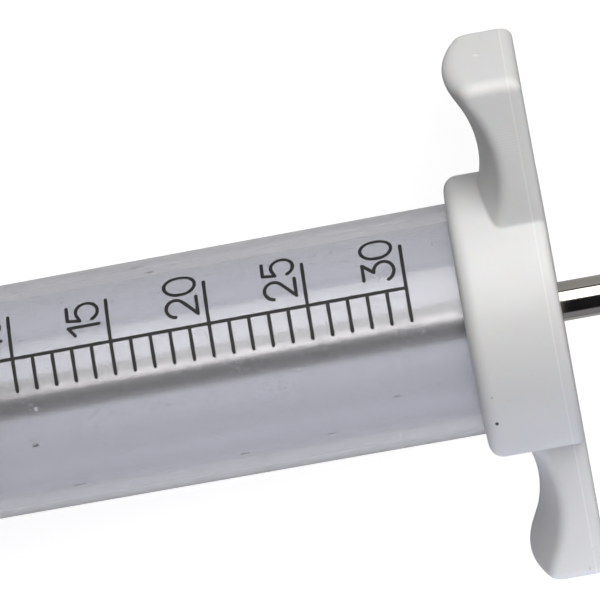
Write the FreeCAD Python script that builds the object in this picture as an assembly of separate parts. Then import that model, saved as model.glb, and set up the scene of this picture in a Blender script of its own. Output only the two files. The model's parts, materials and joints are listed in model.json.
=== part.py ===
import FreeCAD, Part
import math
import os

from FreeCAD import Placement, Rotation, Vector

# A reusable 30 ml luer lock syringe, in millimetres, lying on its side.
# The X axis is the barrel's axis. X = 0 is the mouth of the luer tip, and +X runs to the thumb button.
# Z is up, and the two finger wings lie level along Y.
# Sizes named _radius are measured from the piece's own axis, and names ending in _x are places along X.

# Bore and scale
bore_radius = 11.705
full_volume_ml = 30
rest_volume_ml = 3
ml_length = 1000.0 / (math.pi * bore_radius ** 2)

# Barrel
barrel_wall = 2.045
barrel_draft = 0.0038
thread_depth = 0.8
thread_relief_length = 1.0
barrel_end_chamfer = 0.35
barrel_radius = bore_radius + barrel_wall
thread_core_radius = barrel_radius - thread_depth

# Luer nozzle
luer_tip_radius = 1.975
luer_taper = 0.03
luer_mouth_round = 0.2
fluid_bore_radius = 1.1
funnel_radius = 4.6
funnel_depth = 1.3
shank_radius = 2.9
stem_radius = 4.0
flange_thickness = 2.2

# Lock collar round the luer tip
tip_projection = 2.1
lock_depth = 5.9
lock_base = 2.4
lock_inner_radius = 4.0
lock_outer_radius = 5.7
lock_edge_round = 0.5
lock_rib_crest_radius = 3.5
lock_rib_lead = 5.0
lock_rib_start = 0.6
lock_rib_length = 4.5
lock_rib_base = 1.1
lock_rib_crest = 0.4
lock_rib_count = 2
rib_sink = 0.15

# Front cap
neck_length = 1.5
neck_radius = 7.6
front_wall = 3.0
front_shoulder_round = 2.6
cap_rear_round = 0.5
front_engagement = 8.2
flute_count = 12
flute_half_angle = 8.0
flute_depth = 0.9

# Seals at the barrel's ends
gasket_thickness = 1.6
gasket_width = 4.5
washer_thickness = 1.2
washer_margin = 0.245

# Piston, from its front to its rear
nut_thickness = 1.8
nut_across_flats = 7.0
plate_thickness = 1.2
plate_radius = 9.6
plate_edge_round = 0.35
core_length = 9.0
core_play = 0.3
core_chamfer = 0.4
ring_section_radius = 1.3
ring_inset = 2.3
swivel_play = 0.05
rod_shoulder_thickness = 1.5
rod_shoulder_radius = 4.0
piston_end_clearance = 0.6

# Plunger rod and thumb button
rod_radius = 2.35
spigot_radius = 2.0
finger_gap = 9.0
lock_nut_thickness = 2.4
lock_nut_across_flats = 8.0
boss_radius = 4.6
boss_length = 3.0
button_radius = 13.0
button_thickness = 3.6
button_rear_round = 1.2
button_front_round = 0.6
button_flat_radius = 9.5
button_dish = 0.6
button_dish_radius = 9.1

# Grip cap
grip_margin = 5.95
collar_radius = 16.8
collar_length = 11.2
collar_front_round = 1.7
end_wall = 3.4
mouth_length = 1.5
rear_edge_round = 0.8
wing_half_width = 8.25
wing_tip_radius = 32.8
wing_bulge_inset = 1.2
wing_bulge_setback = 2.45
wing_bulge_round = 4.0
wing_waist_height = 4.75
wing_waist_setback = 5.0
wing_crown_radius = 17.5
wing_corner_round = 1.5
wing_edge_round = 1.5
wing_root_depth = 4.5
wing_root_rise = 3.1
wing_stations = 12
wing_tip_stations = 6

# Clearances
running_clearance = 0.05
thread_clearance = 0.12
seat_clearance = 0.1
cap_mouth_clearance = 0.13

# Modelling: how far a cutter passes the face that it opens, and how exactly an edge is matched by its place
overshoot = 1.0
match_tolerance = 1e-4

# Places along X, from the tip back to the front end of the barrel
lock_front_x = tip_projection
lock_floor_x = lock_front_x + lock_depth
stem_front_x = lock_floor_x + lock_base
neck_front_x = stem_front_x + seat_clearance
cap_face_x = neck_front_x + neck_length
flange_front_x = cap_face_x + front_wall
flange_rear_x = flange_front_x + flange_thickness
barrel_front_x = flange_rear_x + gasket_thickness
front_cap_rear_x = barrel_front_x + front_engagement

# Places along X of the scale, the grip cap and the barrel's rear end
zero_x = flange_rear_x + piston_end_clearance + nut_thickness + plate_thickness + swivel_play
full_x = zero_x + full_volume_ml * ml_length
collar_front_x = full_x + grip_margin
collar_rear_x = collar_front_x + collar_length
end_wall_x = collar_rear_x - end_wall
barrel_rear_x = end_wall_x - washer_thickness

# Places along X of the plunger, as it rests
plunger_travel = rest_volume_ml * ml_length
core_front_x = zero_x + plunger_travel
core_rear_x = core_front_x + core_length
front_plate_x = core_front_x - swivel_play - plate_thickness
nut_front_x = front_plate_x - nut_thickness
rear_plate_x = core_rear_x + swivel_play
shoulder_x = rear_plate_x + plate_thickness
shoulder_rear_x = shoulder_x + rod_shoulder_thickness
lock_nut_x = collar_rear_x + finger_gap + plunger_travel
boss_x = lock_nut_x + lock_nut_thickness
button_x = boss_x + boss_length
button_rear_x = button_x + button_thickness

# Radii that follow from the fits
major_radius = barrel_radius - barrel_draft * full_x + barrel_draft * barrel_front_x
cap_pocket_radius = major_radius + thread_clearance
grip_pocket_radius = barrel_radius + thread_clearance
flange_radius = cap_pocket_radius - seat_clearance
grip_mouth_radius = barrel_radius + barrel_draft * grip_margin + cap_mouth_clearance
crest_radius = collar_radius / math.cos(math.radians(flute_half_angle))
gasket_inner_radius = flange_radius - gasket_width
washer_inner_radius = bore_radius + washer_margin
core_radius = bore_radius - core_play
ring_outer_radius = bore_radius - running_clearance
hole_radius = spigot_radius + running_clearance
wing_bulge_radius = wing_tip_radius - wing_bulge_inset
wing_waist_radius = collar_radius + wing_waist_height
wing_root_radius = collar_radius - wing_root_depth


def turned(outline):
    """The solid turned about the X axis from an outline of (x, radius) points."""
    points = [Vector(x, radius, 0) for x, radius in outline]
    face = Part.Face(Part.makePolygon(points + points[:1]))
    return face.revolve(Vector(0, 0, 0), Vector(1, 0, 0), 360)


def disc(start_x, end_x, radius):
    """A round bar on the X axis."""
    return Part.makeCylinder(radius, end_x - start_x, Vector(start_x, 0, 0), Vector(1, 0, 0))


def tube(start_x, end_x, outer_radius, inner_radius):
    """A round bar on the X axis with a hole through it."""
    hole = disc(start_x - overshoot, end_x + overshoot, inner_radius)
    return disc(start_x, end_x, outer_radius).cut(hole)


def hexagon(start_x, end_x, across_flats):
    """A hexagonal bar on the X axis, with its corners turned off at 30 degrees."""
    corner = across_flats / math.sqrt(3)
    points = []
    for step in range(7):
        angle = math.radians(60 * step)
        points.append(Vector(start_x, corner * math.cos(angle), corner * math.sin(angle)))
    bar = Part.Face(Part.makePolygon(points)).extrude(Vector(end_x - start_x, 0, 0))
    flat = across_flats / 2
    rim = (corner - flat) * math.tan(math.radians(30))
    blank = turned([
        (start_x, 0),
        (start_x, flat),
        (start_x + rim, corner),
        (end_x - rim, corner),
        (end_x, flat),
        (end_x, 0),
    ])
    return bar.common(blank)


def rims(solid, x, radius):
    """The edges of a turned solid that are circles at that place and of that radius."""
    found = []
    for edge in solid.Edges:
        if not isinstance(edge.Curve, Part.Circle):
            continue
        off_place = abs(edge.Curve.Center.x - x)
        off_radius = abs(edge.Curve.Radius - radius)
        if max(off_place, off_radius) < match_tolerance:
            found.append(edge)
    return found


def outer_barrel_radius(x):
    """The barrel's moulded outside, which widens a little towards the rear."""
    return barrel_radius + barrel_draft * (x - full_x)


def barrel():
    front_shoulder_x = front_cap_rear_x - thread_relief_length
    rear_shoulder_x = collar_front_x + mouth_length - thread_relief_length
    return turned([
        (barrel_front_x, bore_radius),
        (barrel_front_x, thread_core_radius - barrel_end_chamfer),
        (barrel_front_x + barrel_end_chamfer, thread_core_radius),
        (front_shoulder_x, thread_core_radius),
        (front_shoulder_x, outer_barrel_radius(front_shoulder_x)),
        (rear_shoulder_x, outer_barrel_radius(rear_shoulder_x)),
        (rear_shoulder_x, thread_core_radius),
        (barrel_rear_x - barrel_end_chamfer, thread_core_radius),
        (barrel_rear_x, thread_core_radius - barrel_end_chamfer),
        (barrel_rear_x, bore_radius),
    ])


def luer_nozzle():
    """Flange, stem, shank and tapered tip in one piece, with the fluid bore through it."""
    cone_base_radius = luer_tip_radius + luer_taper * lock_floor_x
    body = turned([
        (0, 0),
        (0, luer_tip_radius),
        (lock_floor_x, cone_base_radius),
        (lock_floor_x, shank_radius),
        (stem_front_x, shank_radius),
        (stem_front_x, stem_radius),
        (flange_front_x, stem_radius),
        (flange_front_x, flange_radius),
        (flange_rear_x, flange_radius),
        (flange_rear_x, 0),
    ])
    body = body.makeFillet(luer_mouth_round, rims(body, 0, luer_tip_radius))
    bore = turned([
        (-overshoot, 0),
        (-overshoot, fluid_bore_radius),
        (flange_rear_x - funnel_depth, fluid_bore_radius),
        (flange_rear_x, funnel_radius),
        (flange_rear_x + overshoot, funnel_radius),
        (flange_rear_x + overshoot, 0),
    ])
    return body.cut(bore)


def lock_rib(index):
    """One of the steep screw ribs inside the lock collar, swept along its helix and sunk into the wall."""
    helix = Part.makeHelix(lock_rib_lead, lock_rib_length, lock_inner_radius)
    base_radius = lock_inner_radius + rib_sink
    outline = [
        Vector(base_radius, 0, -lock_rib_base / 2),
        Vector(base_radius, 0, lock_rib_base / 2),
        Vector(lock_rib_crest_radius, 0, lock_rib_crest / 2),
        Vector(lock_rib_crest_radius, 0, -lock_rib_crest / 2),
    ]
    profile = Part.makePolygon(outline + outline[:1])
    rib = Part.Wire(helix).makePipeShell([profile], True, True)
    rib.rotate(Vector(0, 0, 0), Vector(0, 0, 1), 360.0 * index / lock_rib_count)
    rib.rotate(Vector(0, 0, 0), Vector(0, 1, 0), 90)
    rib.translate(Vector(lock_front_x + lock_rib_start, 0, 0))
    return rib


def lock_collar():
    """The sleeve round the tip that a needle hub screws into. It is pressed on the nozzle's shank."""
    sleeve = turned([
        (lock_front_x, lock_inner_radius),
        (lock_front_x, lock_outer_radius),
        (stem_front_x, lock_outer_radius),
        (stem_front_x, shank_radius),
        (lock_floor_x, shank_radius),
        (lock_floor_x, lock_inner_radius),
    ])
    edges = rims(sleeve, lock_front_x, lock_outer_radius) + rims(sleeve, stem_front_x, lock_outer_radius)
    sleeve = sleeve.makeFillet(lock_edge_round, edges)
    return sleeve.fuse([lock_rib(index) for index in range(lock_rib_count)])


def flute_cutter():
    """One round-bottomed groove of the front cap, as a long bar at the top of the cap."""
    half_chord = crest_radius * math.sin(math.radians(flute_half_angle))
    chord_height = crest_radius * math.cos(math.radians(flute_half_angle))
    sagitta = chord_height - (crest_radius - flute_depth)
    radius = (half_chord ** 2 + sagitta ** 2) / (2 * sagitta)
    height = crest_radius - flute_depth + radius
    length = front_cap_rear_x - cap_face_x + 2 * overshoot
    return Part.makeCylinder(radius, length, Vector(cap_face_x - overshoot, 0, height), Vector(1, 0, 0))


def front_cap():
    """The fluted cap that screws on the barrel and clamps the nozzle's flange on its gasket."""
    blank = turned([
        (neck_front_x, 0),
        (neck_front_x, neck_radius),
        (cap_face_x, neck_radius),
        (cap_face_x, crest_radius),
        (front_cap_rear_x, crest_radius),
        (front_cap_rear_x, 0),
    ])
    blank = blank.makeFillet(front_shoulder_round, rims(blank, cap_face_x, crest_radius))
    blank = blank.makeFillet(cap_rear_round, rims(blank, front_cap_rear_x, crest_radius))
    cutter = flute_cutter()
    for index in range(flute_count):
        turn = Rotation(Vector(1, 0, 0), 360.0 * index / flute_count)
        groove = cutter.copy()
        groove.Placement = Placement(Vector(0, 0, 0), turn)
        blank = blank.cut(groove)
    pocket = turned([
        (neck_front_x - overshoot, 0),
        (neck_front_x - overshoot, stem_radius + running_clearance),
        (flange_front_x, stem_radius + running_clearance),
        (flange_front_x, cap_pocket_radius),
        (front_cap_rear_x + overshoot, cap_pocket_radius),
        (front_cap_rear_x + overshoot, 0),
    ])
    return blank.cut(pocket)


def front_gasket():
    return tube(flange_rear_x, barrel_front_x, flange_radius, gasket_inner_radius)


def rear_washer():
    return tube(barrel_rear_x, end_wall_x, thread_core_radius, washer_inner_radius)


def ring_x(place):
    """The middle of a piston ring: place 0 is the front ring and place 1 the rear one."""
    return core_front_x + ring_inset + place * (core_length - 2 * ring_inset)


def piston_core():
    """The nylon spool that carries the two sealing rings. The rod turns in its hole."""
    core = disc(core_front_x, core_rear_x, core_radius)
    ends = rims(core, core_front_x, core_radius) + rims(core, core_rear_x, core_radius)
    core = core.makeChamfer(core_chamfer, ends)
    floor_radius = ring_outer_radius - 2 * ring_section_radius
    half_width = ring_section_radius + running_clearance
    for place in (0, 1):
        middle = ring_x(place)
        groove = tube(middle - half_width, middle + half_width, core_radius + overshoot, floor_radius)
        core = core.cut(groove)
    return core.cut(disc(core_front_x - overshoot, core_rear_x + overshoot, hole_radius))


def piston_ring(place):
    return Part.makeTorus(
        ring_outer_radius - ring_section_radius,
        ring_section_radius,
        Vector(ring_x(place), 0, 0),
        Vector(1, 0, 0),
    )


def piston_plate(start_x):
    plate = tube(start_x, start_x + plate_thickness, plate_radius, spigot_radius)
    edges = rims(plate, start_x, plate_radius) + rims(plate, start_x + plate_thickness, plate_radius)
    return plate.makeFillet(plate_edge_round, edges)


def nut(start_x, end_x, across_flats):
    """A hexagonal nut on one of the rod's spigots."""
    return hexagon(start_x, end_x, across_flats).cut(disc(start_x - overshoot, end_x + overshoot, spigot_radius))


def plunger_rod():
    """Front spigot for the piston, shoulder, plain shaft and rear spigot for the button, in one piece."""
    return turned([
        (nut_front_x, 0),
        (nut_front_x, spigot_radius),
        (shoulder_x, spigot_radius),
        (shoulder_x, rod_shoulder_radius),
        (shoulder_rear_x, rod_shoulder_radius),
        (shoulder_rear_x, rod_radius),
        (lock_nut_x, rod_radius),
        (lock_nut_x, spigot_radius),
        (button_x, spigot_radius),
        (button_x, 0),
    ])


def thumb_button():
    """A round thumb rest with a boss, a dished front and a flat pressing face."""
    blank = turned([
        (boss_x, 0),
        (boss_x, boss_radius),
        (button_x, boss_radius),
        (button_x + button_dish, button_dish_radius),
        (button_x, button_radius),
        (button_rear_x - button_dish, button_radius),
        (button_rear_x, button_flat_radius),
        (button_rear_x, 0),
    ])
    blank = blank.makeFillet(button_rear_round, rims(blank, button_rear_x - button_dish, button_radius))
    blank = blank.makeFillet(button_front_round, rims(blank, button_x, button_radius))
    return blank.cut(disc(boss_x - overshoot, button_x, spigot_radius))


def wing_front_x(y):
    """The wing's front line in its middle plane: a hollow for the finger, then a rounded bulge at the tip.
    The hollow is one arc from the root to the waist and another from there to the bulge."""
    waist_x = collar_front_x + wing_waist_setback
    bulge_x = collar_front_x + wing_bulge_setback
    rise = waist_x - bulge_x
    run = wing_bulge_radius - wing_waist_radius
    both_radii = (rise ** 2 + run ** 2) / (2 * rise)
    outer_round = both_radii - wing_bulge_round
    change_y = wing_waist_radius + run * outer_round / both_radii
    if y > change_y:
        return bulge_x + wing_bulge_round - math.sqrt(wing_bulge_round ** 2 - (y - wing_bulge_radius) ** 2)
    root_run = wing_waist_radius - wing_root_radius
    root_round = (wing_root_rise ** 2 + root_run ** 2) / (2 * wing_root_rise)
    hollow_round = root_round if y < wing_waist_radius else outer_round
    return waist_x - hollow_round + math.sqrt(hollow_round ** 2 - (y - wing_waist_radius) ** 2)


def wing_section(y, inset):
    """A section across the wing: flat back and sides, crowned front, and rounded corners.
    The inset draws all four sides in, for the rounding of the tip."""
    front_x = wing_front_x(y) + inset
    rear_x = collar_rear_x - inset
    round_x = rear_x - rear_edge_round
    side = wing_half_width - inset
    inner_side = side - rear_edge_round
    corner = wing_corner_round
    crown_x = front_x + wing_crown_radius
    reach = wing_crown_radius - corner
    corner_x = crown_x - math.sqrt(reach ** 2 - (side - corner) ** 2)
    scale = wing_crown_radius / reach
    join_x = crown_x - (crown_x - corner_x) * scale
    join_z = (side - corner) * scale
    bend = rear_edge_round * math.sqrt(0.5)
    front_angle = (math.atan2(side - corner, crown_x - corner_x) + math.pi / 2) / 2
    mid_x = corner_x - corner * math.cos(front_angle)
    mid_z = side - corner + corner * math.sin(front_angle)

    def at(x, z):
        return Vector(x, y, z)

    edges = [Part.makeLine(at(rear_x, -inner_side), at(rear_x, inner_side))]
    for sign in (1, -1):
        rear_corner = Part.Arc(
            at(rear_x, sign * inner_side),
            at(round_x + bend, sign * (inner_side + bend)),
            at(round_x, sign * side),
        ).toShape()
        flat_side = Part.makeLine(at(round_x, sign * side), at(corner_x, sign * side))
        front_corner = Part.Arc(
            at(corner_x, sign * side), at(mid_x, sign * mid_z), at(join_x, sign * join_z)
        ).toShape()
        edges += [rear_corner, flat_side, front_corner]
    edges.append(Part.Arc(at(join_x, join_z), at(front_x, 0), at(join_x, -join_z)).toShape())
    return Part.Wire(Part.__sortEdges__(edges))


def wing():
    """One finger wing, standing out along +Y: its length as one loft and its rounded tip as another."""
    round_start = wing_tip_radius - wing_edge_round
    spacing = (round_start - wing_root_radius) / (wing_stations - 1)
    length = [wing_section(wing_root_radius + spacing * step, 0) for step in range(wing_stations)]
    tip = []
    for step in range(wing_tip_stations):
        angle = math.radians(90) * step / (wing_tip_stations - 1)
        inset = wing_edge_round * (1 - math.cos(angle))
        tip.append(wing_section(round_start + wing_edge_round * math.sin(angle), inset))
    return Part.makeLoft(length, True, False).fuse(Part.makeLoft(tip, True, False))


def grip_cap():
    """The moulded cap with two finger wings. It screws on the barrel's rear end and guides the rod."""
    collar = disc(collar_front_x, collar_rear_x, collar_radius)
    collar = collar.makeFillet(collar_front_round, rims(collar, collar_front_x, collar_radius))
    collar = collar.makeFillet(rear_edge_round, rims(collar, collar_rear_x, collar_radius))
    near = wing()
    far = near.mirror(Vector(0, 0, 0), Vector(0, 1, 0))
    body = collar.fuse([near, far]).removeSplitter()
    pocket = turned([
        (collar_front_x - overshoot, 0),
        (collar_front_x - overshoot, grip_mouth_radius),
        (collar_front_x + mouth_length, grip_mouth_radius),
        (collar_front_x + mouth_length, grip_pocket_radius),
        (end_wall_x, grip_pocket_radius),
        (end_wall_x, 0),
    ])
    rod_hole = disc(end_wall_x - overshoot, collar_rear_x + overshoot, rod_radius + running_clearance)
    return body.cut(pocket).cut(rod_hole)


def main():
    nodes = {
        "barrel": barrel(),
        "grip_cap": grip_cap(),
        "rear_washer": rear_washer(),
        "front_cap": front_cap(),
        "front_gasket": front_gasket(),
        "luer_nozzle": luer_nozzle(),
        "lock_collar": lock_collar(),
        "piston_core": piston_core(),
        "piston_ring_front": piston_ring(0),
        "piston_ring_rear": piston_ring(1),
        "piston_front_plate": piston_plate(front_plate_x),
        "piston_rear_plate": piston_plate(rear_plate_x),
        "piston_nut": nut(nut_front_x, front_plate_x, nut_across_flats),
        "plunger_rod": plunger_rod(),
        "button_lock_nut": nut(lock_nut_x, boss_x, lock_nut_across_flats),
        "thumb_button": thumb_button(),
    }
    os.makedirs("parts", exist_ok=True)
    for name, shape in nodes.items():
        solid = shape.Solids[0]
        if len(shape.Solids) != 1 or not solid.isValid():
            raise ValueError("node " + name + " is not one valid solid")
        solid.exportStep("parts/" + name + ".step")
        box = solid.BoundBox
        print("%-20s %8.1f mm3  x %7.2f to %7.2f" % (name, solid.Volume, box.XMin, box.XMax))


main()
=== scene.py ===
import json
import math

import bmesh
import bpy
from mathutils import Euler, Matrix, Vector

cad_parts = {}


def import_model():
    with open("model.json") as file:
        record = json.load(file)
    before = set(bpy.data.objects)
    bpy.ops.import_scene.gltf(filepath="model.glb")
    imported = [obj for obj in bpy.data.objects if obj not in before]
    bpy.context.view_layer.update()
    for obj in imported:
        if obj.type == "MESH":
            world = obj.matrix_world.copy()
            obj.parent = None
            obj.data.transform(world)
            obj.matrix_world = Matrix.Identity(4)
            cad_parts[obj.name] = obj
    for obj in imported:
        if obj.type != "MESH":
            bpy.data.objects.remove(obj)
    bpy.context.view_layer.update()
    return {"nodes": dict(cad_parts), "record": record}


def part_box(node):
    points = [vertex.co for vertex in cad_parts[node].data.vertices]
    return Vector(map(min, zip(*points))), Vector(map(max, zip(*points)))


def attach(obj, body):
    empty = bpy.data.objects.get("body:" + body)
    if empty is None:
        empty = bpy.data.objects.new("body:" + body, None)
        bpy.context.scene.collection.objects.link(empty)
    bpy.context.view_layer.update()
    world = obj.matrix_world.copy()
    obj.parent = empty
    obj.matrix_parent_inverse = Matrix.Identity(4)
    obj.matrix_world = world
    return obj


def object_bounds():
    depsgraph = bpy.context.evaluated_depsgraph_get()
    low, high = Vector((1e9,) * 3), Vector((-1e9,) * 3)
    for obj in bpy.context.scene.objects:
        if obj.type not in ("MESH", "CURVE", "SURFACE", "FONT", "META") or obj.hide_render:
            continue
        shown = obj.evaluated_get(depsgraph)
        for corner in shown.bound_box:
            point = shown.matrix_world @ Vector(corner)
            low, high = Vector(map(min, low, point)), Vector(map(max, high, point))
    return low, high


# The looks of a reusable 30 ml luer lock syringe, in metres, in the frame of its model.
# X runs along the barrel from the luer tip to the thumb button, Z is up, and the wings lie level along Y.
# An angle round the barrel is 0 at its top and grows towards the wing on the +Y side.

mm = 0.001

# Camera
camera_place = (0.11156, 0.30718, 0.62981)
camera_turn_deg = (-25.6148, -1.9083, -10.3929)
camera_lens_mm = 357.0
camera_nearest = 0.01
camera_furthest = 20.0
sensor_width_mm = 36.0

# Light. A lamp has its angle from straight up towards the +Y wing, its distance from the target, its shift
# along X, its length and width, its power in watts and its colour.
light_target = (0.08, 0.0, 0.0)
key_lamp = (54.5, 0.60, 0.20, 0.60, 0.59, 4.1, (1.0, 0.985, 0.97))
side_lamps = (
    (-80.0, 0.09, -0.02, 0.10, 0.04, 0.035, (0.88, 0.89, 1.0)),
    (-58.0, 0.09, 0.045, 0.05, 0.04, 0.023, (0.88, 0.89, 1.0)),
)
world_ambient = 0.02
world_tint = (0.94, 0.95, 1.0)

# What metal mirrors: a grey room on the -Y side that turns to a dark ceiling past an angle from straight up.
mirror_side_level = 0.33
mirror_top_level = 0.012
mirror_tint = (0.88, 0.87, 1.0)
mirror_dark_from_deg = -48.0
mirror_blend_deg = 5.0

# Floor. Its lift is the glow that makes it white for the camera.
floor_radius = 4.0
floor_colour = (0.36, 0.36, 0.36)
floor_roughness = 0.9
floor_lift = 0.85
floor_through_lift = 0.66
floor_mirrored_lift = 0.18

# Finishes. A noise node's values lie mostly in this range.
noise_range = (0.3, 0.7)
bevel_samples = 6

# Barrel, as in the model
barrel_radius = 13.75 * mm
barrel_draft = 0.0038
thread_core_radius = 12.95 * mm
ml_length = 2.3233 * mm
zero_x = 20.85 * mm
full_ml = 30

# Printed scale
ink_width = 0.42 * mm
ink_height = 0.018 * mm
ink_depth = 0.012 * mm
ink_step = 0.35 * mm
ink_waver = 0.07
ink_waver_rates = (2900.0, 2300.0)
ink_waver_starts = (1.7, 0.4)
stroke_end_turns_deg = (25, 50, 75)
bow_step_deg = 12
bow_fewest_steps = 6
first_mark_ml = 3
marks_per_number = 5
line_angle_deg = 46.2
mark_low_deg = 29.8
mark_high_deg = 70.7
digit_height = 3.63 * mm
digit_foot_gap = 1.07 * mm
digit_start_deg = 52.2
digit_gap = 0.62 * mm

# Small dents on the barrel: place along it in mm, angle round it in degrees, and half length in mm.
barrel_dents = (
    (59.4, 94.7, 0.9),
    (61.2, 86.7, 0.8),
    (68.5, -27.5, 0.6),
    (78.9, -23.8, 0.5),
    (87.3, -7.3, 0.5),
    (76.7, 15.8, 0.3),
    (70.7, -46.5, 0.5),
    (44.9, 1.6, 0.5),
    (48.8, -29.2, 0.9),
    (45.9, 19.5, 0.3),
)
dent_width = 0.22 * mm

# Small marks on the grip cap: place and reach in mm, cover, and colour.
cap_marks = (
    ((98.06, -6.52, 15.48), (0.30, 0.40, 0.4), 1.0, (0.03, 0.04, 0.06)),
    ((98.07, -2.52, 16.61), (0.16, 0.16, 0.3), 0.5, (0.20, 0.18, 0.18)),
    ((106.30, -28.83, 8.20), (0.14, 0.25, 0.4), 0.4, (0.40, 0.34, 0.30)),
    ((105.55, -31.40, 8.10), (0.13, 0.40, 0.5), 0.4, (0.40, 0.34, 0.30)),
    ((103.20, 32.78, -0.60), (0.50, 0.40, 0.50), 0.9, (0.95, 0.95, 0.94)),
    ((103.55, 32.78, -0.90), (0.25, 0.30, 0.25), 0.5, (0.60, 0.60, 0.60)),
)
# Pale colour for a painted highlight on the parting line and the tool lines, where their ridges catch the
# light.
ridge_highlight_white = (0.96, 0.96, 0.96)
parting_x = 106.3 * mm
parting_width = 0.14 * mm
tool_line_gap = 0.36 * mm
tool_lines_centre = (104.9, 25.6, 8.25)
tool_lines_reach = (2.2, 2.1, 1.0)
root_softness = 0.7 * mm

# Screw threads at the barrel's ends
thread_pitch = 2.0 * mm
thread_base = 1.3 * mm
thread_crest = 0.5 * mm
thread_sink = 0.04 * mm
thread_steps = 72
thread_fade_deg = 70.0
thread_end_share = 0.08
front_crest_radius = 13.45 * mm
rear_crest_radius = 13.70 * mm
front_cap_overhang = 1.0 * mm
grip_cap_overhang = 0.5 * mm


def barrel_outside(x):
    """The radius of the barrel's outside at a place along it."""
    return barrel_radius + barrel_draft * (x - zero_x - full_ml * ml_length)


def on_barrel(x, angle, lift):
    """A point on the barrel at an angle round it, lifted off its surface."""
    radius = barrel_outside(x) + lift
    return Vector((x, radius * math.sin(angle), radius * math.cos(angle)))


def piece_from(name, bm, material):
    """Turns finished bmesh data into an object with a material."""
    bmesh.ops.recalc_face_normals(bm, faces=bm.faces)
    mesh = bpy.data.meshes.new(name)
    bm.to_mesh(mesh)
    bm.free()
    mesh.materials.append(material)
    piece = bpy.data.objects.new(name, mesh)
    bpy.context.scene.collection.objects.link(piece)
    return piece


def close_bar(bm, rows):
    """Joins rows of four corners into a closed bar."""
    for low, high in zip(rows, rows[1:]):
        for index in range(4):
            other = (index + 1) % 4
            bm.faces.new((low[index], low[other], high[other], high[index]))
    bm.faces.new(rows[0])
    bm.faces.new(rows[-1])


# Node materials

def feed(tree, value, socket):
    """Gives a socket a number or links it to another socket."""
    if isinstance(value, (int, float)):
        socket.default_value = value
    else:
        tree.links.new(value, socket)


def combined(tree, operation, first, second):
    """The result of a sum, comparison or other operation on two numbers or sockets."""
    node = tree.nodes.new("ShaderNodeMath")
    node.operation = operation
    feed(tree, first, node.inputs[0])
    feed(tree, second, node.inputs[1])
    return node.outputs["Value"]


def remapped(tree, value, source, target, smooth=False):
    """Takes a value from one range to another. A bound is a number or a socket."""
    node = tree.nodes.new("ShaderNodeMapRange")
    node.interpolation_type = "SMOOTHSTEP" if smooth else "LINEAR"
    for name, bound in zip(("From Min", "From Max", "To Min", "To Max"), (*source, *target)):
        feed(tree, bound, node.inputs[name])
    feed(tree, value, node.inputs["Value"])
    return node.outputs["Result"]


class Nodes:
    """A material's node tree with short calls for the nodes that the finishes share."""

    def __init__(self, name):
        self.material = bpy.data.materials.new(name)
        self.material.use_nodes = True
        self.tree = self.material.node_tree
        self.shader = self.tree.nodes["Principled BSDF"]
        place = self.tree.nodes.new("ShaderNodeTexCoord")
        self.place = place.outputs["Object"]

    def set(self, **values):
        """Sets plain values on the shader, with each underscore standing for a space in the name."""
        for key, value in values.items():
            self.shader.inputs[key.replace("_", " ")].default_value = value

    def link(self, source, target):
        self.tree.links.new(source, target)

    def remap(self, value, source, target):
        return remapped(self.tree, value, source, target)

    def math(self, operation, first, second=0.0):
        return combined(self.tree, operation, first, second)

    def noise(self, scale, detail=3.0, stretch=(1, 1, 1)):
        """Noise on the surface's own coordinates, which are multiplied along each axis first."""
        mapping = self.tree.nodes.new("ShaderNodeMapping")
        mapping.inputs["Scale"].default_value = stretch
        self.link(self.place, mapping.inputs["Vector"])
        node = self.tree.nodes.new("ShaderNodeTexNoise")
        node.inputs["Scale"].default_value = scale
        node.inputs["Detail"].default_value = detail
        self.link(mapping.outputs["Vector"], node.inputs["Vector"])
        return node.outputs["Fac"]

    def axis(self, index):
        """The place along X, Y or Z."""
        node = self.tree.nodes.new("ShaderNodeSeparateXYZ")
        self.link(self.place, node.inputs["Vector"])
        return node.outputs[index]

    def spot(self, centre, reach):
        """1 in the middle of an ellipsoid round a point, falling to 0 at its surface."""
        offset = self.tree.nodes.new("ShaderNodeMapping")
        scale = [1 / r for r in reach]
        offset.inputs["Scale"].default_value = scale
        offset.inputs["Location"].default_value = [-c * s for c, s in zip(centre, scale)]
        self.link(self.place, offset.inputs["Vector"])
        length = self.tree.nodes.new("ShaderNodeVectorMath")
        length.operation = "LENGTH"
        self.link(offset.outputs["Vector"], length.inputs[0])
        return self.remap(length.outputs["Value"], (0, 1), (1, 0))

    def mix_in(self, factor, colour):
        """Puts a colour on the shader as the upper one of a mix, and returns the mix."""
        node = self.tree.nodes.new("ShaderNodeMix")
        node.data_type = "RGBA"
        node.inputs["B"].default_value = (*colour, 1)
        self.link(factor, node.inputs["Factor"])
        self.link(node.outputs["Result"], self.shader.inputs["Base Color"])
        return node

    def colours(self, factor, low, high):
        """Goes from one colour to another as the factor goes from 0 to 1."""
        self.mix_in(factor, high).inputs["A"].default_value = (*low, 1)

    def cover(self, factor, colour):
        """Lays another colour over those before, where the factor is above 0."""
        before = self.shader.inputs["Base Color"].links[0].from_socket
        self.link(before, self.mix_in(factor, colour).inputs["A"])

    def roughness(self, value):
        self.link(value, self.shader.inputs["Roughness"])

    def soften(self, radius):
        """Rounds the look of corners, inner ones too."""
        node = self.tree.nodes.new("ShaderNodeBevel")
        node.samples = bevel_samples
        node.inputs["Radius"].default_value = radius
        self.link(node.outputs["Normal"], self.shader.inputs["Normal"])

    def bump(self, height, strength, depth):
        """Adds a relief on top of those added before."""
        node = self.tree.nodes.new("ShaderNodeBump")
        node.inputs["Strength"].default_value = strength
        node.inputs["Distance"].default_value = depth
        self.link(height, node.inputs["Height"])
        before = self.shader.inputs["Normal"].links
        if before:
            self.link(before[0].from_socket, node.inputs["Normal"])
        self.link(node.outputs["Normal"], self.shader.inputs["Normal"])


def in_metres(values_mm):
    return [value * mm for value in values_mm]


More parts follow.
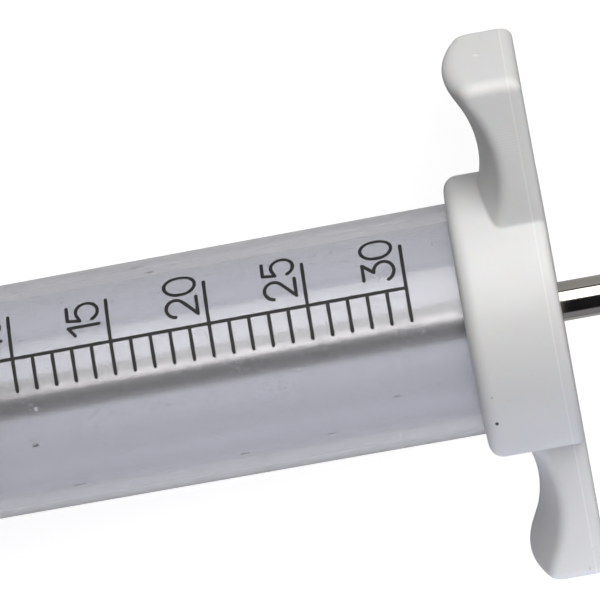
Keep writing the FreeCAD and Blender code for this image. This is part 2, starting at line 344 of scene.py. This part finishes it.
def clear_nylon(name):
    """Faintly frosted clear nylon, with flow streaks along the tube, fine bubbles and small dents."""
    n = Nodes(name)
    n.set(IOR=1.53, Transmission_Weight=0.91, Sheen_Weight=0.5, Sheen_Roughness=0.4)
    n.set(Sheen_Tint=(0.92, 0.94, 1.0, 1), Coat_Weight=1.0, Coat_Roughness=0.46)
    streaks = n.noise(scale=240.0, stretch=(0.05, 1, 1))
    n.colours(n.remap(streaks, noise_range, (0, 1)), (0.70, 0.71, 0.765), (0.77, 0.775, 0.825))
    haze = n.noise(scale=60.0, stretch=(0.3, 1, 1))
    n.roughness(n.remap(haze, noise_range, (0.15, 0.18)))
    bubbles = n.noise(scale=3600.0, detail=0.0)
    n.bump(n.remap(bubbles, (0.76, 0.82), (0, 1)), strength=0.6, depth=0.08 * mm)
    dents = 0.0
    for x, angle_deg, reach in barrel_dents:
        centre = on_barrel(x * mm, math.radians(angle_deg), 0)
        dents = n.math("ADD", dents, n.spot(centre, (reach * mm, dent_width, dent_width)))
    n.bump(dents, strength=1.0, depth=0.4 * mm)
    return n.material


def white_nylon(name):
    """White moulded nylon with a soft sheen, the mould's parting line, faint tool lines and a few specks.
    The parting line and the tool lines are also painted lighter, a painted highlight of the light they
    catch.
    """
    n = Nodes(name)
    n.set(IOR=1.53, Subsurface_Weight=0.12, Subsurface_Scale=1.0 * mm)
    n.colours(n.noise(scale=60.0, detail=4.0), (0.79, 0.80, 0.80), (0.83, 0.84, 0.84))
    for place, reach, cover, colour in cap_marks:
        shape = n.spot(in_metres(place), in_metres(reach))
        n.cover(n.remap(shape, (0.1, 0.5), (0, cover)), colour)
    n.roughness(n.remap(n.noise(scale=300.0, detail=4.0), noise_range, (0.36, 0.48)))
    n.soften(root_softness)
    n.bump(n.noise(scale=1800.0, detail=2.0), strength=0.06, depth=0.1 * mm)
    from_line = n.math("ABSOLUTE", n.math("SUBTRACT", n.axis(0), parting_x))
    ridge = n.remap(from_line, (0, parting_width), (1, 0))
    n.bump(ridge, strength=0.3, depth=0.03 * mm)
    # Painted highlight: the parting line's ridge, raised by the bump above, is also painted lighter for the
    # light it catches.
    n.cover(n.math("MULTIPLY", ridge, 0.7), ridge_highlight_white)
    waves = n.math("SINE", n.math("MULTIPLY", n.axis(1), 2 * math.pi / tool_line_gap))
    region = n.spot(in_metres(tool_lines_centre), in_metres(tool_lines_reach))
    lines = n.math("MULTIPLY", n.remap(waves, (0.5, 1), (0, 0.4)), n.remap(region, (0, 0.3), (0, 1)))
    # Painted highlight: faint tool lines on the +Y wing, painted lighter for the light they catch; they have
    # no relief here.
    n.cover(lines, ridge_highlight_white)
    return n.material


def chrome_plate(name):
    """Bright plating on turned brass, with a trace of the turning and of handling."""
    n = Nodes(name)
    n.set(Metallic=1.0)
    n.colours(n.noise(scale=120.0), (0.54, 0.515, 0.465), (0.60, 0.575, 0.525))
    n.roughness(n.remap(n.noise(scale=250.0, detail=5.0), (0.3, 0.75), (0.07, 0.16)))
    turning = n.noise(scale=2200.0, detail=2.0, stretch=(1, 0.06, 0.06))
    n.bump(turning, strength=0.04, depth=0.05 * mm)
    return n.material


def black_rubber(name):
    """Smooth black rubber with a matt skin."""
    n = Nodes(name)
    n.set(IOR=1.5)
    n.colours(n.noise(scale=400.0, detail=4.0), (0.018, 0.018, 0.02), (0.035, 0.035, 0.037))
    n.roughness(n.remap(n.noise(scale=900.0), noise_range, (0.45, 0.62)))
    n.bump(n.noise(scale=2600.0, detail=2.0), strength=0.1, depth=0.1 * mm)
    return n.material


def scale_ink(name):
    """Black printing ink, slightly uneven in cover."""
    n = Nodes(name)
    n.set(Specular_IOR_Level=0.3)
    n.colours(n.noise(scale=2500.0), (0.008, 0.008, 0.009), (0.03, 0.03, 0.032))
    n.roughness(n.remap(n.noise(scale=3000.0, detail=2.0), noise_range, (0.45, 0.6)))
    n.bump(n.noise(scale=5000.0, detail=2.0), strength=0.15, depth=0.02 * mm)
    return n.material


# Printed scale

def bow(centre_x, centre_y, radius_x, radius_y, start_deg, end_deg):
    """Points along part of an ellipse, from one angle to another."""
    steps = max(bow_fewest_steps, int(abs(end_deg - start_deg) / bow_step_deg))
    points = []
    for step in range(steps + 1):
        angle = math.radians(start_deg + (end_deg - start_deg) * step / steps)
        points.append((centre_x + radius_x * math.cos(angle), centre_y + radius_y * math.sin(angle)))
    return points


def digit_strokes(digit):
    """The pen strokes and the width of a digit from 0 to 3 or a 5, on a height of 1 with its foot at 0."""
    if digit == "0":
        ring = bow(0.38, 0.56, 0.38, 0.44, 180, 0) + bow(0.38, 0.44, 0.38, 0.44, 0, -180)
        return [ring + ring[:1]], 0.76
    if digit == "1":
        return [[(0.0, 0.80), (0.31, 1.0)], [(0.31, 1.0), (0.31, 0.0)]], 0.31
    if digit == "2":
        hook = bow(0.33, 0.69, 0.32, 0.31, 172, -44)
        return [hook + [(0.02, 0.0)], [(0.02, 0.0), (0.68, 0.0)]], 0.68
    if digit == "3":
        bowl = bow(0.34, 0.325, 0.36, 0.325, 90, -160)
        return [[(0.10, 1.0), (0.66, 1.0)], [(0.66, 1.0), (0.34, 0.65)], bowl], 0.70
    bowl = bow(0.38, 0.355, 0.36, 0.355, 122, -155)
    return [[(0.64, 1.0), (0.11, 1.0)], [(0.11, 1.0), (0.05, 0.60)], [(0.05, 0.60)] + bowl], 0.74


def resampled(points, step):
    """The same line with points no further apart than the step."""
    result = [Vector(points[0])]
    for start, end in zip(points, points[1:]):
        start = Vector(start)
        end = Vector(end)
        count = max(1, math.ceil((end - start).length / step))
        for index in range(1, count + 1):
            result.append(start.lerp(end, index / count))
    return result


def half_width_at(point):
    """Half the width of a pen stroke, which wavers a little from place to place."""
    waves = [
        math.sin(rate * value + start)
        for rate, value, start in zip(ink_waver_rates, point, ink_waver_starts)
    ]
    return ink_width / 2 * (1 + ink_waver * waves[0] * waves[1])


def stroke_end(rung, way):
    """Ever narrower rungs beyond a stroke's last one, which round its end off."""
    point, along, half = rung
    rounded = []
    for turn in stroke_end_turns_deg:
        angle = math.radians(turn)
        rounded.append((point + along * half * math.sin(angle) * way, along, half * math.cos(angle)))
    return rounded


def lay_stroke(bm, points):
    """Lays a pen stroke of ink on the barrel along (x, arc length) points."""
    line = resampled(points, ink_step)
    rungs = []
    for index, point in enumerate(line):
        along = line[min(index + 1, len(line) - 1)] - line[max(index - 1, 0)]
        rungs.append((point, along.normalized(), half_width_at(point)))
    rows = []
    for point, along, half in stroke_end(rungs[0], -1)[::-1] + rungs + stroke_end(rungs[-1], 1):
        across = Vector((-along.y, along.x)) * half
        row = []
        for side, lift in ((1, ink_height), (-1, ink_height), (-1, -ink_depth), (1, -ink_depth)):
            x, arc = point + across * side
            row.append(bm.verts.new(on_barrel(x, arc / barrel_radius, lift)))
        rows.append(row)
    close_bar(bm, rows)


def lay_number(bm, number, x, arc):
    """Writes a number round the barrel, its foot beside a mark."""
    for digit in str(number):
        strokes, width = digit_strokes(digit)
        for stroke in strokes:
            placed = [(x - digit_foot_gap - v * digit_height, arc + u * digit_height) for u, v in stroke]
            lay_stroke(bm, placed)
        arc += width * digit_height + digit_gap


def printed_scale(material):
    """The baseline, a mark for each millilitre and a number for every fifth."""
    bm = bmesh.new()
    line_arc, low_arc, high_arc, digit_arc = [
        math.radians(angle) * barrel_radius
        for angle in (line_angle_deg, mark_low_deg, mark_high_deg, digit_start_deg)
    ]
    first_x = zero_x + first_mark_ml * ml_length
    last_x = zero_x + full_ml * ml_length
    lay_stroke(bm, [(first_x, line_arc), (last_x, line_arc)])
    for mark in range(first_mark_ml, full_ml + 1):
        x = zero_x + mark * ml_length
        numbered = mark % marks_per_number == 0
        lay_stroke(bm, [(x, low_arc), (x, high_arc if numbered else line_arc)])
        if numbered:
            lay_number(bm, mark, x, digit_arc)
    return piece_from("scale_print", bm, material)


# Threads

def thread_ridge(name, start_x, end_x, crest_radius, material):
    """A right-handed screw ridge on the barrel's threaded core, fading out at both ends."""
    bm = bmesh.new()
    root_radius = thread_core_radius - thread_sink
    turns = (end_x - start_x - thread_base) / thread_pitch
    count = int(turns * thread_steps)
    rows = []
    for step in range(count + 1):
        turned = 360.0 * step / thread_steps
        left = 360.0 * count / thread_steps - turned
        fade = min(1.0, turned / thread_fade_deg, left / thread_fade_deg)
        share = thread_end_share + (1 - thread_end_share) * fade
        top_radius = root_radius + (crest_radius - root_radius) * share
        middle = start_x + thread_base / 2 + thread_pitch * turned / 360.0
        angle = math.radians(turned)
        row = []
        for offset, radius in (
            (-thread_base / 2, root_radius),
            (-thread_crest / 2, top_radius),
            (thread_crest / 2, top_radius),
            (thread_base / 2, root_radius),
        ):
            row.append(bm.verts.new((middle + offset, radius * math.cos(angle), radius * math.sin(angle))))
        rows.append(row)
    close_bar(bm, rows)
    return piece_from(name, bm, material)


# Stage

def area_light(name, angle_deg, distance, shift, length, width, power, colour):
    """A rectangular lamp that faces the syringe, unseen by the camera."""
    data = bpy.data.lights.new(name, "AREA")
    data.shape = "RECTANGLE"
    data.size = length
    data.size_y = width
    data.energy = power
    data.color = colour
    lamp = bpy.data.objects.new(name, data)
    angle = math.radians(angle_deg)
    from_target = Vector((0, math.sin(angle), math.cos(angle))) * distance
    lamp.location = Vector(light_target) + from_target + Vector((shift, 0, 0))
    lamp.rotation_euler = Euler((-angle, 0, 0))
    lamp.visible_camera = False
    bpy.context.scene.collection.objects.link(lamp)
    return lamp


def studio_lamps():
    """A large key lamp, and small side lamps that neither metal nor the clear wall shows."""
    area_light("key_light", *key_lamp)
    for number, values in enumerate(side_lamps, 1):
        lamp = area_light(f"side_light_{number}", *values)
        lamp.visible_glossy = False
        lamp.visible_transmission = False


def path_has(tree, kind):
    """1 where the light's path so far has a Glossy, Transmission or Diffuse bounce, and 0 elsewhere."""
    path = tree.nodes.new("ShaderNodeLightPath")
    return combined(tree, "GREATER_THAN", path.outputs[kind + " Depth"], 0.5)


def floor_material():
    """Pale floor that renders white for the camera, also through clear walls, and still takes the shadow."""
    material = bpy.data.materials.new("floor")
    material.use_nodes = True
    tree = material.node_tree
    shader = tree.nodes["Principled BSDF"]
    shader.inputs["Base Color"].default_value = (*floor_colour, 1)
    shader.inputs["Roughness"].default_value = floor_roughness
    shader.inputs["Specular IOR Level"].default_value = 0.0
    through = path_has(tree, "Transmission")
    mirrored_lift = remapped(tree, through, (0, 1), (floor_mirrored_lift, floor_through_lift))
    seen_lift = remapped(tree, path_has(tree, "Glossy"), (0, 1), (floor_lift, mirrored_lift))
    lift = remapped(tree, path_has(tree, "Diffuse"), (0, 1), (seen_lift, 0))
    glow = tree.nodes.new("ShaderNodeEmission")
    tree.links.new(lift, glow.inputs["Strength"])
    both = tree.nodes.new("ShaderNodeAddShader")
    tree.links.new(shader.outputs["BSDF"], both.inputs[0])
    tree.links.new(glow.outputs["Emission"], both.inputs[1])
    tree.links.new(both.outputs["Shader"], tree.nodes["Material Output"].inputs["Surface"])
    return material


def stage_floor():
    """A round floor at the level on which the syringe lies."""
    bm = bmesh.new()
    bmesh.ops.create_circle(bm, cap_ends=True, segments=64, radius=floor_radius)
    floor = piece_from("floor", bm, floor_material())
    floor.location.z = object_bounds()[0].z


def room_level(tree):
    """The level of the mirrored room, by the angle from straight up round the X axis."""
    coordinates = tree.nodes.new("ShaderNodeTexCoord")
    split = tree.nodes.new("ShaderNodeSeparateXYZ")
    tree.links.new(coordinates.outputs["Generated"], split.inputs["Vector"])
    angle = combined(tree, "ARCTAN2", split.outputs["Y"], split.outputs["Z"])
    dark_from = math.radians(mirror_dark_from_deg - mirror_blend_deg)
    dark_to = math.radians(mirror_dark_from_deg + mirror_blend_deg)
    return remapped(tree, angle, (dark_from, dark_to), (mirror_side_level, mirror_top_level), smooth=True)


def backdrop(tree, colour, level):
    """A colour of the world at a level, which is a number or a socket."""
    node = tree.nodes.new("ShaderNodeBackground")
    node.inputs["Color"].default_value = (*colour, 1)
    feed(tree, level, node.inputs["Strength"])
    return node.outputs["Background"]


def mixed(tree, factor, first, second):
    """A shader that goes from one to another as the factor goes from 0 to 1."""
    node = tree.nodes.new("ShaderNodeMixShader")
    for source, socket in zip((factor, first, second), node.inputs):
        tree.links.new(source, socket)
    return node.outputs["Shader"]


def world_light():
    """White behind the object, soft light on it, and a dim room where metal mirrors it."""
    world = bpy.data.worlds.new("studio")
    bpy.context.scene.world = world
    world.use_nodes = True
    tree = world.node_tree
    soft = tree.nodes["Background"]
    soft.inputs["Color"].default_value = (*world_tint, 1)
    soft.inputs["Strength"].default_value = world_ambient
    white = backdrop(tree, (1, 1, 1), 1.0)
    room = backdrop(tree, mirror_tint, room_level(tree))
    seen = mixed(tree, path_has(tree, "Glossy"), white, room)
    final = mixed(tree, path_has(tree, "Diffuse"), seen, soft.outputs["Background"])
    tree.links.new(final, tree.nodes["World Output"].inputs["Surface"])


def stage_camera():
    data = bpy.data.cameras.new("camera")
    data.sensor_width = sensor_width_mm
    data.lens = camera_lens_mm
    data.clip_start = camera_nearest
    data.clip_end = camera_furthest
    camera = bpy.data.objects.new("camera", data)
    camera.location = camera_place
    camera.rotation_euler = Euler([math.radians(angle) for angle in camera_turn_deg], "XYZ")
    bpy.context.scene.collection.objects.link(camera)
    bpy.context.scene.camera = camera


def clear_start_scene():
    for name in ("Cube", "Light", "Camera"):
        if name in bpy.data.objects:
            bpy.data.objects.remove(bpy.data.objects[name])


def dress_nodes(frame):
    """Gives each piece of the model its finish, and returns the finishes by material slot."""
    finishes = {
        "clear_nylon": clear_nylon("clear_nylon_finish"),
        "white_nylon": white_nylon("white_nylon_finish"),
        "chrome_plate": chrome_plate("chrome_plate_finish"),
        "black_rubber": black_rubber("black_rubber_finish"),
    }
    for part in frame["record"]["subparts"]:
        mesh = frame["nodes"][part["node"]].data
        mesh.materials.clear()
        mesh.materials.append(finishes[part["material_slot"]])
    return finishes


def add_scale():
    ink = printed_scale(scale_ink("scale_ink_finish"))
    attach(ink, "barrel")


def add_threads(material):
    """The barrel's two threads, each as long as the cap over it reaches."""
    barrel_low, barrel_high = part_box("barrel")
    cap_rear_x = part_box("front_cap")[1].x
    grip_front_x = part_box("grip_cap")[0].x
    threads = (
        ("barrel_thread_front", barrel_low.x, cap_rear_x - front_cap_overhang, front_crest_radius),
        ("barrel_thread_rear", grip_front_x + grip_cap_overhang, barrel_high.x, rear_crest_radius),
    )
    for name, start_x, end_x, crest_radius in threads:
        ridge = thread_ridge(name, start_x, end_x, crest_radius, material)
        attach(ridge, "barrel")


def main():
    clear_start_scene()
    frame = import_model()
    finishes = dress_nodes(frame)
    add_scale()
    add_threads(finishes["clear_nylon"])
    stage_floor()
    studio_lamps()
    world_light()
    stage_camera()
    bpy.context.scene.view_settings.view_transform = "Standard"


main()
